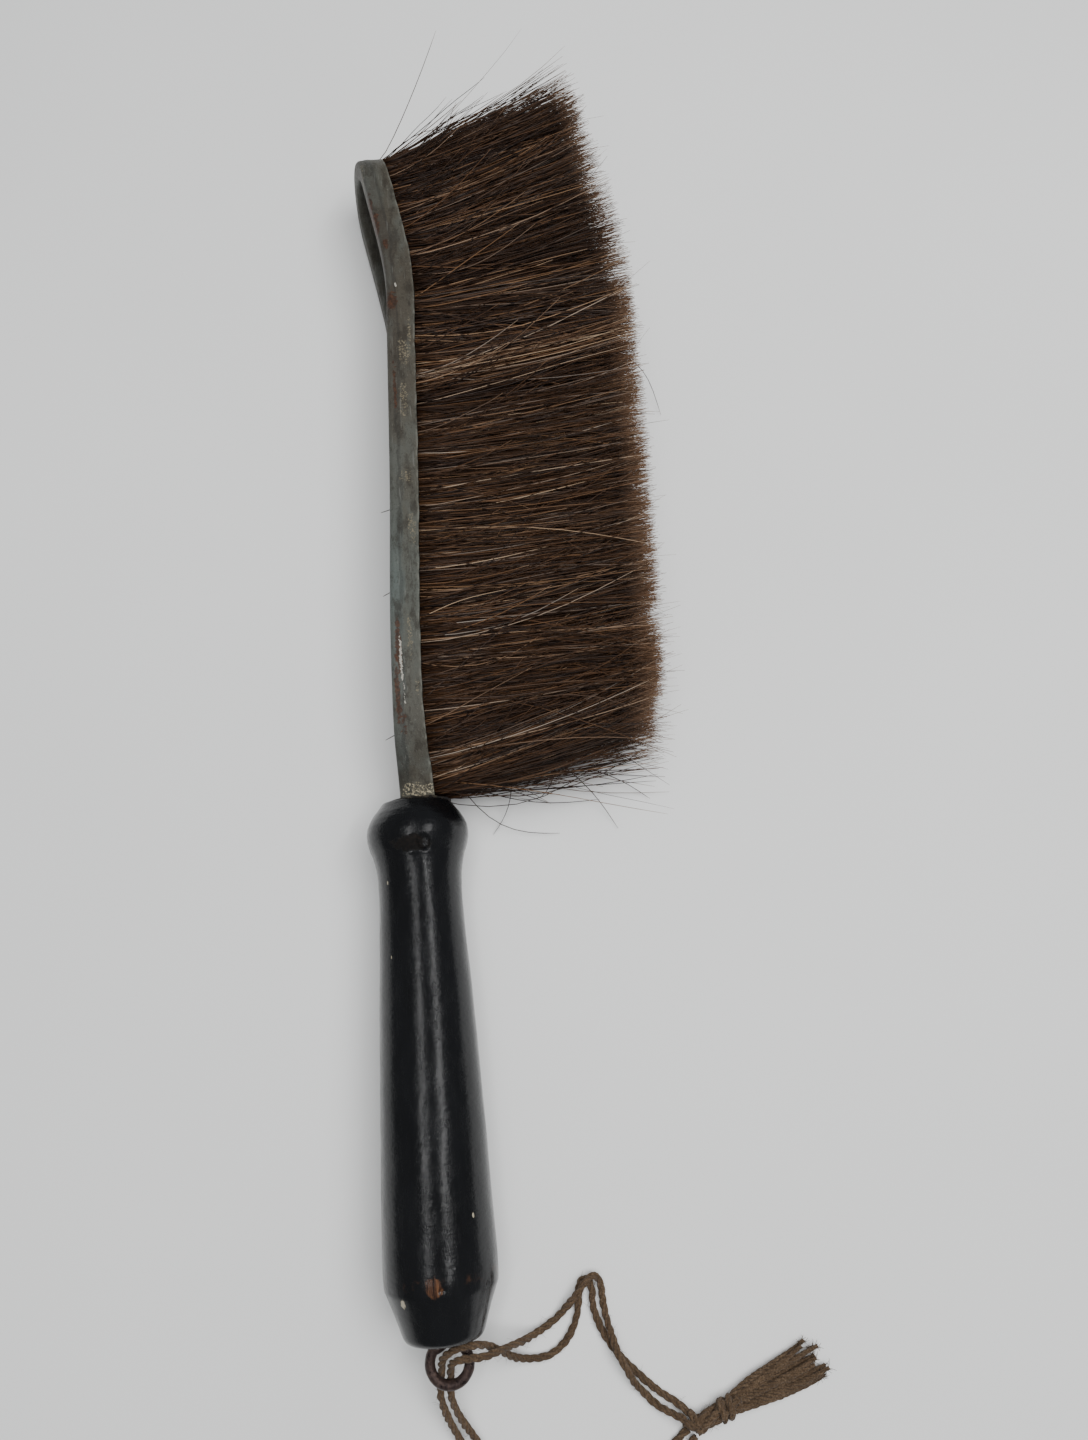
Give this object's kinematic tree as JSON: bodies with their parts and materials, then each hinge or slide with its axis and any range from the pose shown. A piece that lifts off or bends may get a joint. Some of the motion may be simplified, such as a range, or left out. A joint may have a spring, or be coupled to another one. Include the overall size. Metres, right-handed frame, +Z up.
{
  "type": "clothes brush",
  "caption": "Long-handled horsehair clothes brush with a hairpin steel channel, a turned black handle, a screw eye and a knotted twine hanging loop, lying on its side.",
  "frame": {"origin": "under the middle of the brush's box, measured without its twine, on the surface that the brush lies on", "axes": "+Y along the brush from the screw eye to the nose, +X the way the hair points, +Z up from the surface"},
  "size_m": [0.0984, 0.3772, 0.0274],
  "materials": {
    "lacquered_wood": "gloss black lacquer, worn through to wood at the widest rim",
    "channel_steel": "aged grey-green steel with rust spots and a streak of white paint",
    "horsehair": "coarse dark brown hair with lighter brown and grey strands",
    "core_steel": "dull drawn wire",
    "rusted_wire": "dark brown rusted wire, rubbed smooth",
    "cement": "dry yellowish crust",
    "twine": "brown two-ply twine with loose fibres"
  },
  "bodies": {
    "root": {"handle": "lacquered_wood", "cement_collar": "cement", "retaining_nail": "core_steel", "screw_eye": "rusted_wire", "channel_strip": "channel_steel", "core_wire": "core_steel", "hair_upper_row": "horsehair", "hair_nose": "horsehair", "hair_lower_row": "horsehair", "twine_strand_a": "twine", "twine_strand_b": "twine", "twine_knot": "twine", "twine_tassel": "twine"}
  },
  "joints": []
}
